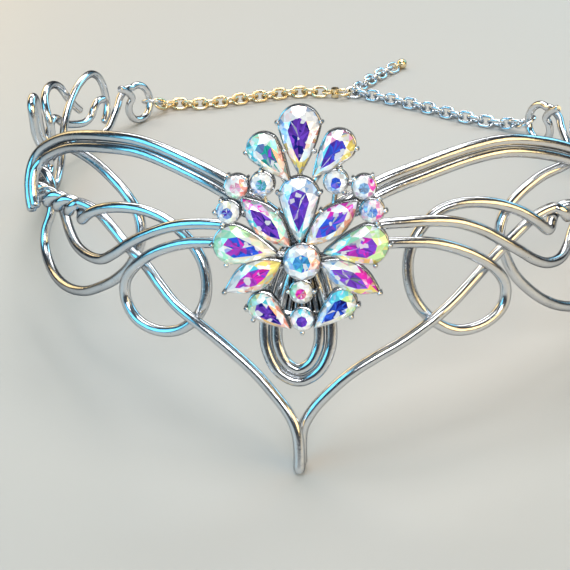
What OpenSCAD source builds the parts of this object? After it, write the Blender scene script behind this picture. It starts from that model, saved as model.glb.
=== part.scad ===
// Wire circlet tiara: ten bent wires on a leaning oval wall, a claw-set rosette of stones,
// and a cable chain with a lobster clasp that closes the back.
// Millimetres. It stands on the tip of its V and on its two eye rings, +Z up, front towards -Y.

/* [Circlet] */
// Half width of the oval wall that the wires follow
wall_across = 78; // [74:1:82]
// Half depth of the oval wall
wall_deep = 94; // [90:1:98]
// Degrees that the wall leans back as it stands
lean = 19; // [15:1:20]
// How much further back the left side lies than the right, per mm
skew = 0.00096; // [0:0.00004:0.0012]
// Diameter of the circlet's wire
wire_d = 2.2; // [1.8:0.1:2.2]
// Spacing of the two brow wires, centre to centre
pair_gap = 2.3; // [2.3:0.05:2.6]

/* [Twist] */
// Turn of the wall at which the twist begins, in degrees
twist_from = 37.5; // [37:0.1:38]
// Turn at which it ends
twist_to = 52.5; // [52:0.1:53]
// Times that the two wires go round each other
twist_turns = 2.25; // [1.25:1:3.25]
// Radius on which each wire winds
twist_r = 1.2; // [1.2:0.05:1.3]

/* [Eye rings] */
// Turn of the ring's middle, in degrees
eye_turn = 128.2; // [127.5:0.1:129]
// Height of the ring's middle up the wall
eye_height = 59.2; // [58.8:0.1:59.6]
// Radius of the ring's centre line
eye_r = 5.35; // [5:0.05:5.5]

/* [Rosette] */
// Middle line of the rosette, left of the tip
rosette_x = -1.1; // [-2:0.1:0]
// How far the back of the setting stands off the wall
seat_out = 2.45; // [2.4:0.05:2.8]
// Thickness of the cups
cup_thick = 1.4; // [1.2:0.1:1.5]
// Height of a stone's back over its cup
stone_gap = 0.12; // [0.1:0.02:0.2]
// Girdle of the stones over their backs
pavilion = 1.6; // [1.4:0.1:1.8]
// Table of the stones over their girdles
crown = 1.7; // [1.4:0.1:1.9]
// Radius of a claw's bead
claw_r = 0.42; // [0.36:0.02:0.46]

/* [Chain] */
// Outer length of a link
link_long = 5.7; // [5.6:0.05:5.8]
// Outer width of a link
link_wide = 4.3; // [4.2:0.1:4.4]
// Wire of a link
link_wire = 1.0; // [0.9:0.05:1]
// Lean of the links to either side as they lie
link_roll = 45; // [43:1:47]
// Radius of a jump ring's centre line
jump_r = 2.9; // [2.8:0.05:3]
// Wire of a jump ring
jump_wire = 0.9; // [0.8:0.05:0.9]
// Radius of the bead at the end of the tail
bead_r = 1.7; // [1.5:0.05:1.7]

/* [Clasp] */
// Radius of the hook's centre line
hook_r = 2.3; // [2.3:0.05:2.4]
// Wire of the hook
hook_wire = 0.9; // [0.8:0.05:0.9]
// Diameter of the lever's pin
pin_d = 0.7; // [0.6:0.05:0.7]
// Room round the pin in the lever's bore
pin_room = 0.04; // [0.02:0.01:0.06]
// Thickness of the lever
lever_thick = 0.7; // [0.6:0.05:0.8]
// Turn of the lever inward from closed, in degrees
lever_open = 0; // [0:1:25]

/* [Hidden] */
// The tip's place in the part's own frame, whose origin is under the middle of the whole crown
tip_place = [0, -107.97, 0];
wire_r = wire_d / 2;
// Run of the wall behind the side, in mm for each degree of turn
eye_mm_per_turn = 1.54;
// Height of the middle of the twist where it begins, and how much it climbs
twist_height = 47.8;
twist_climb = 1.3;
// Sides of a wire, and degrees of bend that one step of it takes
wire_sides = 6;
bend_step = 28;
// Length and share of the full radius of the small cap at a wire's end
cap_long = 0.45;
cap_share = 0.6;

steel = [0.86, 0.88, 0.9];
silver = [0.8, 0.8, 0.82];
crystal = [0.6, 0.5, 0.95];
gilt = [0.85, 0.82, 0.72];

// Wire tables. Columns: turn in degrees, height up the wall, mm proud of the wall.

// From the left curl over the brow, behind the rosette, round the hanging loop and up to the right curl
brow_rows = [
  [-48, 45.8, 3.5], [-48.7, 48.5, 3.5], [-49, 52, 3.3], [-48.8, 55.8, 2.4], [-47.2, 58.8, 1.2],
  [-43.4, 61.2, 0.2], [-38.4, 62.7, 0], [-31, 63.3, 0], [-24.5, 62.8, 0], [-18, 60.2, 0],
  [-11, 55.8, -0.5], [-4.5, 50, -1.2], [0.3, 43.5, -1.2], [2.5, 36.5, -0.6], [3.1, 30, 0],
  [3, 24.5, 0], [1.4, 19.9, 0], [-1.5, 17.9, 0], [-4.4, 19.8, 0], [-6, 24.3, 0],
  [-6.1, 30, 0], [-5.4, 36.5, 0.6], [-3, 43.5, 1.2], [2, 50, 1.2], [9, 55.6, 0.5],
  [16, 59.1, 0], [22.9, 61.9, 0], [29.3, 63, 0], [36.7, 61.9, 0], [43.4, 59.7, 0.2],
  [48, 57.9, 1], [51, 55.1, 2.4], [51.9, 51.5, 3.4], [51.5, 48, 3.7], [50.4, 45, 3.6]
];

// From the tip of the V up to the twist
v_rows_left = [
  [1.5, -0.1, 1.15], [1.5, 5, 1.15], [1.9, 8.6, 1.1], [2.9, 11.6, 0.8], [4.6, 14.6, 0.4],
  [7.6, 19.2, 0.2], [11.2, 23.6, 0.5], [15, 27.8, 1.15], [18.9, 31.4, 1.15], [22.2, 35, 0],
  [25.2, 38.3, -1.15], [28.6, 41.6, -1.15], [31.6, 44.9, -1.15], [34.6, 47.6, -1.1]
];
v_rows_right = [
  [-1.3, 0.65, -1.15], [-1.3, 5, -1.15], [-1, 8.4, -1.1], [0.6, 12.2, -0.8], [3.1, 16, -0.4],
  [6.1, 19.6, 0], [9.6, 22.6, 0.2], [13.3, 25.5, 0.6], [16.7, 28.8, 1.15], [19.9, 32.1, 1],
  [23.2, 35.5, -0.2], [26.3, 38.6, -1.35], [29.2, 42, -1.25], [32, 44.9, -1.2], [34.8, 47.4, -1.1]
];

// From behind the rosette round the big loop and over its own arc to the twist
loop_rows_left = [
  [11, 44.5, 1.2], [14, 44.4, 1.2], [17, 44, 1.2], [20.5, 42.7, 1.2], [23.7, 40.6, 1.2],
  [26.6, 37.6, 0.9], [28.3, 34.4, 0.4], [28.4, 30.6, 0], [26.6, 27.2, -0.3], [23.5, 25.6, -0.7],
  [20.2, 25.9, -1.2], [17.4, 28.1, -1.2], [15.6, 31.5, -1.2], [15, 35.4, -1.2], [15.4, 39.5, -1.2],
  [16.9, 43.1, -1.2], [19.2, 46, -1.2], [21.9, 48.1, -1], [25, 49.4, -0.3], [28.5, 49.6, 0.4],
  [31.8, 49, 0.9], [34.5, 47.7, 1.25], [36.6, 46, 0.9]
];
loop_rows_right = [
  [10, 44.6, 1.2], [13.4, 44.6, 1.2], [17, 44.3, 1.2], [20.5, 43, 1.2], [23.7, 41.1, 1.2],
  [26.8, 38.3, 0.95], [28.8, 35, 0.4], [28.9, 31.2, 0], [27.3, 28.4, -0.3], [24.4, 26.6, -0.7],
  [21, 26.5, -1.2], [17.8, 28.9, -1.2], [15.4, 32.6, -1.2], [14.3, 36.8, -1.2], [14.2, 41, -1.2],
  [15, 44.5, -1.2], [16.6, 47.6, -1.2], [19, 50.2, -1], [22.3, 51.4, -0.3], [26.2, 51.1, 0.4],
  [30.3, 49.5, 0.9], [33.7, 47, 1.25], [36.2, 44.9, 0.9]
];

// From behind the rosette in a low wave to the side
middle_rows_left = [
  [7.6, 45.7, 1.2], [9.2, 47.1, 1.2], [12, 47.9, 1.2], [16, 47.8, 1.2], [19.7, 46.9, 1.2],
  [23.2, 45.2, 1.2], [26.7, 42.9, 1.2], [29.8, 40.3, 1.2], [32.6, 38.6, 0.8], [35.8, 38.5, 0.3],
  [39.3, 39.6, -0.4], [42.8, 41.6, -1.7], [46, 43.9, -3.1], [48.4, 46.1, -3.7], [51, 47.4, -3.7],
  [53.2, 47.4, -3.6], [56.3, 46.6, -3.25]
];
middle_rows_right = [
  [8, 47, 1.2], [9.8, 48.1, 1.2], [12.9, 48.4, 1.2], [16.8, 48.5, 1.2], [20.5, 48, 1.2],
  [24.3, 46.3, 1.2], [27.5, 44, 1.2], [31, 41.3, 1.1], [33.8, 39.2, 0.8], [36.8, 38, 0.2],
  [40.2, 38.3, -0.8], [43.3, 40.2, -2.3], [45.7, 43.2, -3.4], [47.8, 45.9, -3.7], [50.4, 47.4, -3.7],
  [53.2, 47.4, -3.6], [56.3, 46.6, -3.25]
];

// From under the brow wires round the teardrop, behind all the others
teardrop_rows_left = [
  [49, 58.4, -1.9], [45.5, 60, -2.4], [41, 59, -2.9], [36.8, 57, -3.5], [33, 54.4, -3.5],
  [30, 51.5, -3.5], [27.8, 47.8, -3.6], [27.3, 43.9, -3.6], [28.2, 40.3, -3.6], [30, 36.8, -3.5],
  [33.2, 33.6, -3.5], [37, 31.2, -3.5], [41.2, 29.3, -3.4], [46.2, 28.6, -3.4], [51, 29.3, -3.4],
  [55, 31.4, -3.4], [57.6, 34.6, -3.4], [58.2, 38.4, -3.9], [57.8, 42.2, -5.2]
];
teardrop_rows_right = [
  [49, 56.8, -1.9], [45.5, 58, -2.4], [41.4, 56.6, -2.9], [38.1, 55.2, -3.5], [34.9, 53.2, -3.5],
  [32.1, 50.6, -3.5], [30.3, 47.4, -3.6], [29.8, 43.7, -3.6], [30.9, 39.8, -3.6], [32.8, 35.6, -3.5],
  [35.9, 32, -3.5], [39.3, 29.3, -3.5], [43.2, 27.4, -3.4], [47.6, 26.6, -3.4], [52, 27.6, -3.4],
  [55.8, 30.4, -3.4], [58.2, 34.2, -3.5], [58.6, 38.2, -4], [57.9, 42.2, -5.2]
];

// Behind the twist the four wires run side by side, then fan into the arches. Both sides are alike.
v_rear = [
  [56, 48.2, -0.1], [62, 46.1, -1.7], [70, 44.2, -2.5], [79, 42.2, -1.6], [86, 41, -0.3],
  [91, 41.6, 1.2], [96, 44.5, 1.2], [101, 47.7, 1.2], [106, 49.4, 0.7], [111, 49.8, -0.1],
  [115, 50.2, -0.6], [117.6, 52, -1.15], [119.5, 55.2, -1.15], [121.4, 58.6, -0.8], [123, 61.4, 0],
  [125.3, 63.6, 0]
];
loop_rear = [
  [56, 49.3, -2.5], [62, 48.6, -4.05], [70, 46.7, -4.85], [79, 44.6, -3.95], [86, 43.4, -2.65],
  [90, 42.9, -1.75], [93, 43.4, -1.5], [94.2, 45.8, -1.3], [93, 48.6, -1.2], [90.8, 51.5, -0.8],
  [89.2, 54.8, -0.2], [88.3, 59, -0.1], [88.2, 62.6, 0.2], [89.6, 64.6, 0.4], [91.5, 63.7, 0.6],
  [93, 60.5, 0.9], [94.1, 56.5, 1.1], [94.9, 53.6, 0.9], [95.6, 52.5, -0.4], [95.4, 54.2, -1.4],
  [94.8, 57.4, -1.3], [94.9, 61, -0.4], [95.9, 63.8, 0.4], [98, 65.9, 0.9], [100.8, 66.6, 1.2],
  [103.5, 65.7, 1.2], [106, 62.8, 1.2], [108.6, 60, 1.2], [110.8, 58.1, 1.2]
];
middle_rear = [
  [62, 46.2, -4.05], [70, 44.3, -4.85], [79, 42.2, -3.95], [86, 41, -2.65], [91, 39.6, -1.7],
  [95.5, 39.5, -1.5], [98.2, 42, -1.2], [99.8, 46, -1.2], [100.8, 50.8, -1.2], [101.6, 55, -1.2],
  [103.2, 59, -1.2], [105.2, 62.4, -1.2], [107.6, 65.5, -1.2], [110.4, 67.8, -1.1],
  [113.2, 68.7, -0.6], [115.9, 67.8, 0], [117.9, 65.3, 0.6], [119.1, 62.2, 1.2],
  [119.6, 58.9, 1.2], [119.2, 56, 1.2], [118.4, 53.8, 1.2]
];
teardrop_rear = [
  [58.5, 46.2, -6.05], [59.6, 49.6, -5.8], [62, 51.4, -4.7], [65.5, 50.2, -3.1], [70, 47.2, -2.6],
  [79, 44.6, -1.6], [86, 43.4, -0.3], [91, 44.4, 1.2], [95, 47.5, 1.2], [97.3, 51.5, 1.2],
  [98.7, 55, 1.2], [100.2, 57.2, 1.2], [102, 57, 1.2], [104.2, 55.4, 1.2], [107, 54.7, 0.7],
  [110.4, 54.7, 0], [112.7, 56.2, -0.4], [113.4, 58.7, -1], [114.6, 60.6, -1.1], [117, 61.2, -1.1]
];
// Round the eye. Columns: degrees round the ring, mm proud.
eye_rows = [
  [120, 0], [90, 0], [60, 0], [30, 0], [0, 0], [-30, 0], [-60, 0], [-90, 0], [-120, 0],
  [-150, -0.4], [-177, -1.3], [-200, -2.3]
];
// The V wire's end, tucked behind the ring
eye_tail = [[123.2, 62.9, -2.6], [120.9, 64, -2.5]];

// Stones. Columns: name, outline, across, height, radius or half width, length ahead, degrees of its
// long axis. A pear's place is the middle of its round end, and its length ahead runs to the tip.
stone_rows = [
  ["pear_top", "pear", 0.1, 66.8, 3.67, 8.7, -90],
  ["pear_upper_left", "pear", -6.5, 62.7, 2.88, 7.3, -51],
  ["pear_upper_right", "pear", 7.2, 63.2, 2.88, 7.3, -130],
  ["pear_middle", "pear", -0.1, 54.0, 3.55, 8.5, -90],
  ["pear_left", "pear", -12.3, 45.2, 3.62, 8.0, -11],
  ["pear_right", "pear", 12.4, 45.1, 3.62, 8.2, -170],
  ["pear_lower_left", "pear", -7.2, 33.6, 2.6, 6.6, -39],
  ["pear_lower_right", "pear", 7.6, 34.2, 2.6, 6.9, -139],
  ["navette_upper_left", "navette", -6.2, 49.3, 2.6, 6.1, -46],
  ["navette_upper_right", "navette", 5.8, 49.2, 2.6, 6.1, -140],
  ["navette_lower_left", "navette", -8.7, 39.3, 2.6, 5.8, 28],
  ["navette_lower_right", "navette", 9.0, 39.2, 2.6, 5.9, 152],
  ["round_centre", "round", 0.3, 42.0, 3.3, 3.3, 0],
  ["round_left_high", "round", -6.8, 56.4, 2.1, 2.1, 0],
  ["round_left_mid", "round", -11.5, 55.9, 2.1, 2.1, 0],
  ["round_left_low", "round", -13.1, 51.3, 2.1, 2.1, 0],
  ["round_right_high", "round", 6.6, 56.7, 2.1, 2.1, 0],
  ["round_right_mid", "round", 11.7, 55.7, 2.1, 2.1, 0],
  ["round_right_low", "round", 13.1, 51.4, 2.1, 2.1, 0],
  ["round_lower_high", "round", 0.1, 36.4, 2.1, 2.1, 0],
  ["round_lower_low", "round", 0.2, 31.2, 2.1, 2.1, 0]
];

function unit(v) = v / norm(v);
function last(list) = list[len(list) - 1];

// A place on the leaning wall
function leaned(q) =
  let (back = cos(lean) * q[1] + sin(lean) * q[2])
  [q[0], back * (1 - skew * q[0]), cos(lean) * q[2] - sin(lean) * q[1]] + tip_place;
function on_wall(row) = leaned([
  (wall_across + row[2]) * sin(row[0]),
  wall_deep - (wall_deep + row[2]) * cos(row[0]),
  row[1]
]);
// Outward from the wall at a turn
function outward(turn) =
  let (n = unit([sin(turn) * wall_deep, -cos(turn) * wall_across, 0]))
  [n[0], cos(lean) * n[1], -sin(lean) * n[1]];

// A smooth curve through rows, with more steps where it bends more
function bend(points, i) =
  let (
    before = points[max(i - 1, 0)],
    after = points[min(i + 2, len(points) - 1)],
    a = unit(points[i + 1] - before),
    b = unit(after - points[i])
  ) acos(min(1, a * b));
function curve_at(a, b, c, d, u) =
  0.5 * (2 * b + (c - a) * u + (2 * a - 5 * b + 4 * c - d) * u * u
    + (3 * b - a - 3 * c + d) * u * u * u);
function smooth(rows) =
  let (points = [for (row = rows) on_wall(row)], count = len(rows))
  [
    for (i = [0 : count - 2])
      let (
        a = i == 0 ? 2 * rows[0] - rows[1] : rows[i - 1],
        d = i == count - 2 ? 2 * rows[i + 1] - rows[i] : rows[i + 2],
        steps = 1 + floor(bend(points, i) / bend_step)
      )
      for (j = [0 : steps - 1]) curve_at(a, rows[i], rows[i + 1], d, j / steps),
    last(rows)
  ];

// Round wire along points: rings carried without twisting, small flats at the ends
function heading(points, i) =
  unit(points[min(i + 1, len(points) - 1)] - points[max(i - 1, 0)]);
function carried(side, way) = unit(side - (side * way) * way);
function with_caps(points) =
  let (n = len(points) - 1)
  concat(
    [points[0], points[0] + cap_long * unit(points[1] - points[0])],
    [for (i = [1 : n - 1]) points[i]],
    [points[n] - cap_long * unit(points[n] - points[n - 1]), points[n]]
  );
module wire(points, radius, sides, side0) {
  path = with_caps(points);
  count = len(path);
  frames = [
    for (
      i = 0, side = carried(side0, heading(path, 0));
      i < count;
      i = i + 1, side = i < count ? carried(side, heading(path, i)) : side
    ) side
  ];
  rings = [
    for (i = [0 : count - 1])
      let (
        side = frames[i],
        up = cross(heading(path, i), side),
        r = i == 0 || i == count - 1 ? radius * cap_share : radius
      )
      for (j = [0 : sides - 1])
        path[i] + r * (cos(360 * j / sides) * side + sin(360 * j / sides) * up)
  ];
  polyhedron(rings, concat(
    [[for (j = [0 : sides - 1]) j]],
    [
      for (i = [0 : count - 2], j = [0 : sides - 1])
        let (k = (j + 1) % sides)
        [i * sides + k, i * sides + j, (i + 1) * sides + j, (i + 1) * sides + k]
    ],
    [[for (j = [0 : sides - 1]) count * sides - 1 - j]]
  ));
}
module wall_wire(rows) {
  points = [for (row = smooth(rows)) on_wall(row)];
  color(steel) wire(points, wire_r, wire_sides, outward(rows[0][0]));
}

// The second brow wire lies beside the first, on the wall
module beside_wire(rows) {
  fine = smooth(rows);
  points = [for (row = fine) on_wall(row)];
  moved = [
    for (i = [0 : len(points) - 1])
      points[i] + pair_gap * unit(cross(heading(points, i), outward(fine[i][0])))
  ];
  color(steel) wire(moved, wire_r, wire_sides, outward(rows[0][0]));
}

function mirrored(rows, side) = [for (row = rows) [side * row[0], row[1], row[2]]];
function twist_rows(phase) =
  let (steps = 8 * twist_turns)
  [
    for (i = [0 : steps])
      let (share = i / steps, angle = phase - 360 * twist_turns * share)
      [
        twist_from + (twist_to - twist_from) * share,
        twist_height + twist_climb * share + twist_r * sin(angle),
        twist_r * cos(angle)
      ]
  ];
function round_eye() = [
  for (row = eye_rows)
    [eye_turn + eye_r / eye_mm_per_turn * cos(row[0]), eye_height + eye_r * sin(row[0]), row[1]]
];
module v_wire(rows, side) {
  wall_wire(mirrored(concat(rows, twist_rows(90), v_rear, round_eye(), eye_tail), side));
}
module loop_wire(rows, side) {
  wall_wire(mirrored(concat(rows, twist_rows(-90), loop_rear), side));
}
module middle_wire(rows, side) {
  wall_wire(mirrored(concat(rows, middle_rear), side));
}
module teardrop_wire(rows, side) {
  wall_wire(mirrored(concat(rows, teardrop_rear), side));
}

// Rosette plane: across, height, and mm out from the wall
module on_rosette() {
  translate(tip_place) rotate([-lean, 0, 0]) translate([rosette_x, 0, 0]) rotate([90, 0, 0]) children();
}
stone_back = seat_out + cup_thick + stone_gap;
girdle = stone_back + pavilion;
table = girdle + crown;

// Share of a stone's full outline at its back and at its table
back_share = 0.42;
table_share = 0.6;

// Outlines round the stone's own place, its length along +X, fine for stones and plain for cups
function pear_half(share) = 1 - pow(share, 1.4);
function pear_outline(r, ahead, shares) = concat(
  [[ahead, 0]],
  [for (i = [len(shares) - 1 : -1 : 0]) [shares[i] * ahead, pear_half(shares[i]) * r]],
  [for (a = [90 : 45 : 270]) [r * cos(a), r * sin(a)]],
  [for (share = shares) [share * ahead, -pear_half(share) * r]]
);
function navette_outline(half, ahead, shares) = concat(
  [[ahead, 0]],
  [for (i = [len(shares) - 1 : -1 : 0]) [shares[i] * ahead, half * (1 - pow(shares[i], 2))]],
  [[-ahead, 0]],
  [for (share = shares) [share * ahead, -half * (1 - pow(share, 2))]]
);
function round_outline(r, step) = [for (a = [0 : step : 359]) [r * cos(a), r * sin(a)]];
function outline(row, fine) =
  row[1] == "pear" ? pear_outline(row[4], row[5], fine ? [0.3, 0.62, 0.87] : [0.5])
  : row[1] == "navette" ? navette_outline(row[4], row[5], fine ? [-0.6, -0.2, 0.2, 0.6] : [0])
  : round_outline(row[4], fine ? 30 : 45);
function middle_of(row) = row[1] == "pear" ? [0.22 * row[5], 0] : [0, 0];

// Layers of one outline, each with its height and share of the full size
module layered(shape, middle, layers) {
  count = len(shape);
  top = len(layers) - 1;
  points = [
    for (layer = layers, p = shape)
      let (q = middle + (p - middle) * layer[1]) [q[0], q[1], layer[0]]
  ];
  polyhedron(points, concat(
    [[for (j = [0 : count - 1]) j]],
    [
      for (i = [0 : top - 1], j = [0 : count - 1])
        let (k = (j + 1) % count)
        [i * count + k, i * count + j, (i + 1) * count + j, (i + 1) * count + k]
    ],
    [[for (j = [0 : count - 1]) top * count + count - 1 - j]]
  ));
}
module at_stone(row) {
  on_rosette() translate([row[2], row[3], 0]) rotate([0, 0, row[6]]) children();
}
module stone(name) {
  for (row = stone_rows) if (row[0] == name)
    color(crystal) at_stone(row) layered(outline(row, true), middle_of(row),
      [[stone_back, back_share], [girdle, 1], [table, table_share]]);
}

// Setting: a cup behind each stone, ribs from cup to cup, a fan, claws round the stones
rib_wide = 1.3;
rib_thick = 0.8;
// A rib lies this much over the backs of the cups
rib_rise = 0.2;
// Behind the small stones under the middle one lies a plain fan. Columns: across, height.
fan_corners = [[-2.3, 40.2], [-4.4, 32.9], [5.0, 32.9], [2.9, 40.2]];
fan_rise = 0.5;
fan_thick = 0.75;
// A cup's share of its stone's outline
cup_share = 1.13;
// Sides of a claw, and how much thinner its shank and its top are than its bead
claw_sides = 8;
claw_step = 0.08;
// A claw's foot over the backs of the cups
shank_rise = 0.4;
// Foot and top of a claw's bead, and the claw's own top, over the girdle
bead_foot = 0.1;
bead_top = 0.6;
claw_top = 0.8;
// Columns: number of the stone, direction of the claw, its distance from the stone's place
claw_rows = [
  [0, 10, 4.08], [0, 170, 4.08], [0, -121.4, 5.3], [0, -59, 5.25], [1, 190, 3.28],
  [2, -10, 3.28], [3, 12, 3.98], [3, 168, 3.98], [4, 120, 4.05], [4, 180, 4.05], [4, 250, 4.05],
  [5, 60, 4.05], [5, 0, 4.05], [5, -70, 4.05], [6, 185, 3.02], [6, 235, 3.02], [7, -5, 3.02],
  [7, -55, 3.02], [8, 44, 3.05], [9, 130, 3.05], [10, 208, 6.25],
  [11, -28, 6.35], [13, 95, 2.52], [13, 230, 2.52], [14, 40, 2.52], [14, 125, 2.52], [15, 120, 2.52],
  [15, 180, 2.52], [15, 245, 2.52], [16, 70, 2.52], [16, -50, 2.52], [17, 140, 2.52], [17, 55, 2.52],
  [18, 60, 2.52], [18, 0, 2.52], [18, -65, 2.52], [19, 175, 2.52], [19, 5, 2.52], [20, 270, 2.52]
];
// Pairs of stones whose cups a rib joins
rib_rows = [
  [0, 3], [1, 3], [2, 3], [3, 12], [4, 12], [5, 12], [8, 12], [9, 12], [10, 12], [11, 12],
  [12, 19], [19, 20], [6, 20], [7, 20], [13, 8], [14, 13], [15, 8], [16, 9], [17, 16], [18, 9]
];
module cup(row) {
  shape = outline(row, false);
  middle = middle_of(row);
  at_stone(row) translate([0, 0, seat_out]) linear_extrude(cup_thick)
    polygon([for (p = shape) middle + (p - middle) * cup_share]);
}
function cup_middle(row) =
  let (m = middle_of(row))
  [row[2] + cos(row[6]) * m[0], row[3] + sin(row[6]) * m[0]];
module rib(a, b) {
  from = cup_middle(stone_rows[a]);
  way = cup_middle(stone_rows[b]) - from;
  on_rosette() translate([from[0], from[1], seat_out + rib_rise]) rotate([0, 0, atan2(way[1], way[0])])
    translate([0, -rib_wide / 2, 0]) cube([norm(way), rib_wide, rib_thick]);
}
module claw(row) {
  place = stone_rows[row[0]];
  on_rosette() translate([place[2], place[3], 0]) rotate([0, 0, row[1]]) translate([row[2], 0, 0]) {
    translate([0, 0, seat_out + shank_rise])
      cylinder(r = claw_r - claw_step, h = girdle + claw_top - seat_out - shank_rise, $fn = claw_sides);
    translate([0, 0, girdle + bead_foot])
      cylinder(r = claw_r, h = bead_top - bead_foot, $fn = claw_sides);
  }
}
module fan() {
  on_rosette() translate([0, 0, seat_out + fan_rise]) linear_extrude(fan_thick) polygon(fan_corners);
}
module setting() {
  color(silver) union() {
    fan();
    for (row = stone_rows) cup(row);
    for (pair = rib_rows) rib(pair[0], pair[1]);
    for (row = claw_rows) claw(row);
  }
}

// Chain: round wire links as closed rings of five sides
link_sides = 5;
end_step = 36;
// Play between links that hold each other, between a chain and the ring at its end, and over the table
link_play = 0.2;
end_play = 0.4;
rest_play = 0.03;
link_reach = (link_long - link_wire) / 2;
link_room = link_long - 2 * link_wire - link_play;
link_rest = (link_wide - link_wire) / 2 * sin(link_roll) + link_wire / 2 + rest_play;
module link() {
  straight = (link_long - link_wide) / 2;
  arc = (link_wide - link_wire) / 2;
  spine = [
    for (end = [1, -1], a = [-2 * end_step : end_step : 2 * end_step])
      let (out = end * [cos(a), sin(a)]) [[end * straight, 0] + arc * out, out]
  ];
  count = len(spine);
  polyhedron(
    [
      for (step = spine, j = [0 : link_sides - 1])
        let (
          b = 360 * j / link_sides,
          flat = step[0] + link_wire / 2 * cos(b) * step[1]
        ) [flat[0], flat[1], link_wire / 2 * sin(b)]
    ],
    [
      for (i = [0 : count - 1], j = [0 : link_sides - 1])
        let (n = (i + 1) % count, k = (j + 1) % link_sides)
        [i * link_sides + j, i * link_sides + k, n * link_sides + k, n * link_sides + j]
    ]
  );
}
// Length along points up to each of them
function run_to(points) = [
  for (
    i = 0, run = 0;
    i < len(points);
    i = i + 1, run = i < len(points) ? run + norm(points[i] - points[i - 1]) : run
  ) run
];
function along(points, runs, s) = [
  for (axis = [0 : 2]) lookup(s, [for (i = [0 : len(points) - 1]) [runs[i], points[i][axis]]])
];
function rounded_path(points) =
  let (count = len(points))
  [
    for (i = [0 : count - 2])
      let (
        a = i == 0 ? 2 * points[0] - points[1] : points[i - 1],
        d = i == count - 2 ? 2 * points[i + 1] - points[i] : points[i + 2]
      )
      for (j = [0 : 3]) curve_at(a, points[i], points[i + 1], d, j / 4),
    last(points)
  ];
module aimed(place, way, roll) {
  translate(place) rotate([0, -asin(way[2]), atan2(way[1], way[0])]) rotate([roll, 0, 0]) children();
}
// Links along points: the first reaches its near end to the first point, the last holds a wire of
// end_wire at the last point. Each has a lean of its own, and the list starts again at its end.
function link_hold(end_wire) = link_reach - link_wire / 2 - end_wire / 2 - end_play;
module links(points, leans, end_wire) {
  path = rounded_path(points);
  runs = run_to(path);
  span = last(runs) - link_reach - link_hold(end_wire);
  count = ceil(span / link_room);
  for (i = [0 : count])
    let (s = link_reach + i * span / count)
      aimed(
        along(path, runs, s) + tip_place,
        unit(along(path, runs, s + 1) - along(path, runs, s - 1)),
        leans[i < len(leans) ? i : i % 2]
      ) link();
}

// Chain tables, from the clasp outward. Columns: across, back, height, from the tip of the V.
chain_left_rows = [
  [-2.75, 191.32, link_rest], [-6.2, 191.7, link_rest], [-10.5, 191.9, link_rest],
  [-17, 190.7, link_rest], [-24, 188.6, link_rest], [-31, 186.2, link_rest], [-37.5, 183.8, link_rest],
  [-44, 182.6, link_rest], [-50, 182.9, link_rest], [-53.6, 181.6, 2], [-56.17, 179.48, 3.2]
];
chain_right_rows = [
  [6.85, 190.85, link_rest], [9.1, 189.7, link_rest], [14.5, 186.7, link_rest], [20.8, 183, link_rest],
  [27.3, 178.7, link_rest], [33.9, 174, link_rest], [40.1, 169.8, link_rest], [46.5, 166.2, link_rest],
  [52, 163.6, 1.95], [55.9, 160.6, 3.27]
];
tail_rows = [
  [5.83, 190.78, 2.9], [6.9, 192.9, 2.26], [8.4, 196, 1.95], [9.95, 199.1, 1.85],
  [12.9, 204.3, 1.75], [16.3, 209.3, link_rest], [19.6, 213.3, link_rest]
];
side_leans = [-link_roll, link_roll];
tail_leans = [90, 20, -55, 40, -45, 45, -45, 45];
// Radius and wire of the bead's own loop, and how deep the loop sinks into the bead
loop_r = 1.15;
loop_wire = 0.6;
bead_sunk = 0.2;

// Jump rings hang from the rear of the eyes and lean out to the chain
// Columns: side, azimuth of the ring, tilt down, roll about its own length
jump_rows = [["left", 54, 27, -15], ["right", 131, 26, -15]];
ring_play = 0.25;
module jump_ring(side) {
  row = jump_rows[side > 0 ? 1 : 0];
  wire_place = on_wall([side * (eye_turn + eye_r / eye_mm_per_turn), eye_height, 0]);
  hang = jump_r - jump_wire / 2 - wire_r - ring_play;
  way = [cos(row[2]) * cos(row[1]), cos(row[2]) * sin(row[1]), -sin(row[2])];
  color(silver) translate(wire_place + hang * way) rotate([0, row[2], row[1]]) rotate([row[3], 0, 0])
    rotate_extrude($fn = 48) translate([jump_r, 0]) circle(d = jump_wire, $fn = 24);
}

// Clasp, lying flat. Its frame: middle of the hook's round, +X to the hook's bight.
clasp_place = [2.5, 190.85, 1.7];
clasp_yaw = -5;
block_place = [-2.6, -0.1];
block_r = 1.2;
block_half = 1.45;
pivot = [-2.5, -0.6];
// The slot that the lever turns in: its low corner and its size in the plane of the clasp
slot_corner = [-3.3, -1.6];
slot_size = [2.4, 1.85];
slot_tall = lever_thick + 0.1;
// The pin's ends lie a little under the faces of the block
pin_inset = 0.1;
// The hook starts at its tip and runs round to the block, in degrees
hook_from = -98;
hook_turn = 258;
bail_r = 1.35;
bail_wire = 0.66;
bail_x = -5.13;
module at_clasp() {
  translate(clasp_place + tip_place) rotate([0, 0, clasp_yaw]) children();
}
module clasp_body() {
  color(silver) at_clasp() {
    difference() {
      translate([block_place[0], block_place[1], -block_half])
        cylinder(r = block_r, h = 2 * block_half, $fn = 40);
      translate([slot_corner[0], slot_corner[1], -slot_tall / 2])
        cube([slot_size[0], slot_size[1], slot_tall]);
    }
    translate([pivot[0], pivot[1], pin_inset - block_half])
      cylinder(d = pin_d, h = 2 * (block_half - pin_inset), $fn = 32);
    rotate([0, 0, hook_from]) {
      rotate_extrude(angle = hook_turn, $fn = 64) translate([hook_r, 0]) circle(d = hook_wire, $fn = 24);
      translate([hook_r, 0, 0]) sphere(d = hook_wire, $fn = 24);
    }
    translate([bail_x, 0, 0]) rotate_extrude($fn = 40)
      translate([bail_r, 0]) circle(d = bail_wire, $fn = 20);
  }
}
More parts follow.
